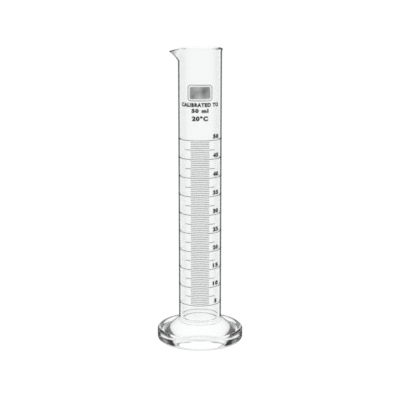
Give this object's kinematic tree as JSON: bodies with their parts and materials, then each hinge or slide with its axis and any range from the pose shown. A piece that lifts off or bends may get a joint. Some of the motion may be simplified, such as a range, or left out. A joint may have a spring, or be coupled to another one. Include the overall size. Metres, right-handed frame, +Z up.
{
  "type": "graduated cylinder",
  "caption": "Tall clear glass measuring cylinder on a round glass foot, with a pouring spout, a fired enamel millilitre scale with numerals and a marking panel.",
  "frame": {"origin": "centre of the foot's underside, on the plane that it stands on", "axes": "+Z up along the tube's axis; -Y out of the front, where the scale is; -X towards the pouring spout; the numerals are on the +X side"},
  "size_m": [0.0536, 0.0536, 0.1818],
  "materials": {
    "clear_glass": "smooth, flame-polished and clear, very slightly green",
    "black_enamel": "fired screen-printed enamel, satin",
    "grey_enamel": "fired screen-printed enamel, matt"
  },
  "bodies": {
    "root": {"glass_foot": "clear_glass", "glass_tube": "clear_glass", "half_mark_07_5ml": "black_enamel", "half_mark_12_5ml": "black_enamel", "half_mark_17_5ml": "black_enamel", "half_mark_22_5ml": "black_enamel", "half_mark_27_5ml": "black_enamel", "half_mark_32_5ml": "black_enamel", "half_mark_37_5ml": "black_enamel", "half_mark_42_5ml": "black_enamel", "half_mark_47_5ml": "black_enamel", "numeral_05_ones": "black_enamel", "numeral_10_ones": "black_enamel", "numeral_10_tens": "black_enamel", "numeral_15_ones": "black_enamel", "numeral_15_tens": "black_enamel", "numeral_20_ones": "black_enamel", "numeral_20_tens": "black_enamel", "numeral_25_ones": "black_enamel", "numeral_25_tens": "black_enamel", "numeral_30_ones": "black_enamel", "numeral_30_tens": "black_enamel", "numeral_35_ones": "black_enamel", "numeral_35_tens": "black_enamel", "numeral_40_ones": "black_enamel", "numeral_40_tens": "black_enamel", "numeral_45_ones": "black_enamel", "numeral_45_tens": "black_enamel", "numeral_50_ones": "black_enamel", "numeral_50_tens": "black_enamel", "panel_frame": "black_enamel", "ring_mark_05ml": "black_enamel", "ring_mark_10ml": "black_enamel", "ring_mark_15ml": "black_enamel", "ring_mark_20ml": "black_enamel", "ring_mark_25ml": "black_enamel", "ring_mark_30ml": "black_enamel", "ring_mark_35ml": "black_enamel", "ring_mark_40ml": "black_enamel", "ring_mark_45ml": "black_enamel", "ring_mark_50ml": "black_enamel", "writing_patch": "grey_enamel"}
  },
  "joints": []
}
